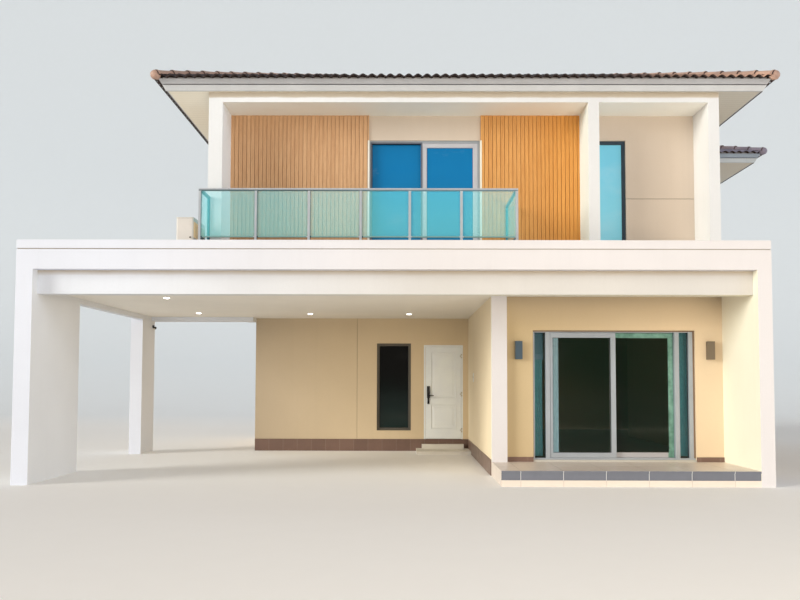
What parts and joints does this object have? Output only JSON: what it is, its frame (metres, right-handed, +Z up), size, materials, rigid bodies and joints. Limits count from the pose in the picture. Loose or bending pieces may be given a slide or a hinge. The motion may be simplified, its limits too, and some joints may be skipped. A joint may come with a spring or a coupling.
{
  "type": "detached house",
  "caption": "Two-storey detached house with an open carport and porch under a white band, a framed balcony, wood cladding and hip roofs; the front door swings and the living room doors slide.",
  "frame": {"origin": "centre of the house's bounding box, at ground level", "axes": "+X to the right along the front, +Y from the front to the back, +Z up"},
  "size_m": [13.36, 10.48, 8.1265],
  "materials": {
    "slab_concrete": "matte",
    "porch_stone": "satin",
    "cream_render": "matte",
    "carport_render": "matte",
    "beige_render": "matte",
    "skirting_tile": "satin",
    "wood_boards": "satin",
    "fascia_paint": "satin",
    "roof_tile": "matte",
    "aluminium": "satin",
    "balustrade_glass": "clear",
    "dark_aluminium": "satin",
    "white_paint": "satin",
    "black_plastic": "satin",
    "unit_enamel": "satin"
  },
  "bodies": {
    "root": {"ground_floor_slab": "slab_concrete", "first_floor_slab": "slab_concrete", "porch_slab": "porch_stone", "entrance_step": "porch_stone", "left_pier": "cream_render", "right_pier": "cream_render", "rear_column": "cream_render", "porch_column": "cream_render", "front_band": "cream_render", "carport_beams": "cream_render", "ceilings": "cream_render", "frame_posts": "cream_render", "frame_beam": "cream_render", "eaves_soffit": "cream_render", "carport_back_wall": "carport_render", "carport_back_wall_header": "carport_render", "carport_side_wall": "carport_render", "living_front_wall": "beige_render", "living_front_wall_header": "beige_render", "ground_side_walls": "beige_render", "ground_rear_wall": "beige_render", "wing_ground_walls": "beige_render", "upper_front_wall": "beige_render", "upper_side_walls": "beige_render", "upper_rear_wall": "beige_render", "wing_upper_walls": "beige_render", "skirting": "skirting_tile", "wood_cladding": "wood_boards", "fascia": "fascia_paint", "main_roof": "roof_tile", "wing_roof": "roof_tile", "balcony_railing": "aluminium", "balcony_door": "aluminium", "living_door_frame": "aluminium", "balcony_glass": "balustrade_glass", "upper_windows": "dark_aluminium", "ground_windows": "dark_aluminium", "wall_lights": "dark_aluminium", "entrance_door_frame": "white_paint", "downlights": "white_paint", "security_camera": "black_plastic", "ac_unit": "unit_enamel", "balcony_kerb": "cream_render"},
    "entrance_door": {"entrance_door_leaf": "white_paint", "door_lock": "black_plastic"},
    "left_sliding_leaf": {"living_door_left_leaf": "aluminium"},
    "right_sliding_leaf": {"living_door_right_leaf": "aluminium"}
  },
  "joints": [
    {"name": "entrance_door_hinge", "type": "hinge", "parent": "root", "child": "entrance_door", "pos_m": [0.0665, 0.501, 1.202], "axis": [0, 0, 1], "range_deg": [0, 90]},
    {"name": "left_leaf_slide", "type": "slide", "parent": "root", "child": "left_sliding_leaf", "axis": [1, 0, 0], "range_m": [0, 0.92]},
    {"name": "right_leaf_slide", "type": "slide", "parent": "root", "child": "right_sliding_leaf", "axis": [-1, 0, 0], "range_m": [0, 0.95]}
  ]
}
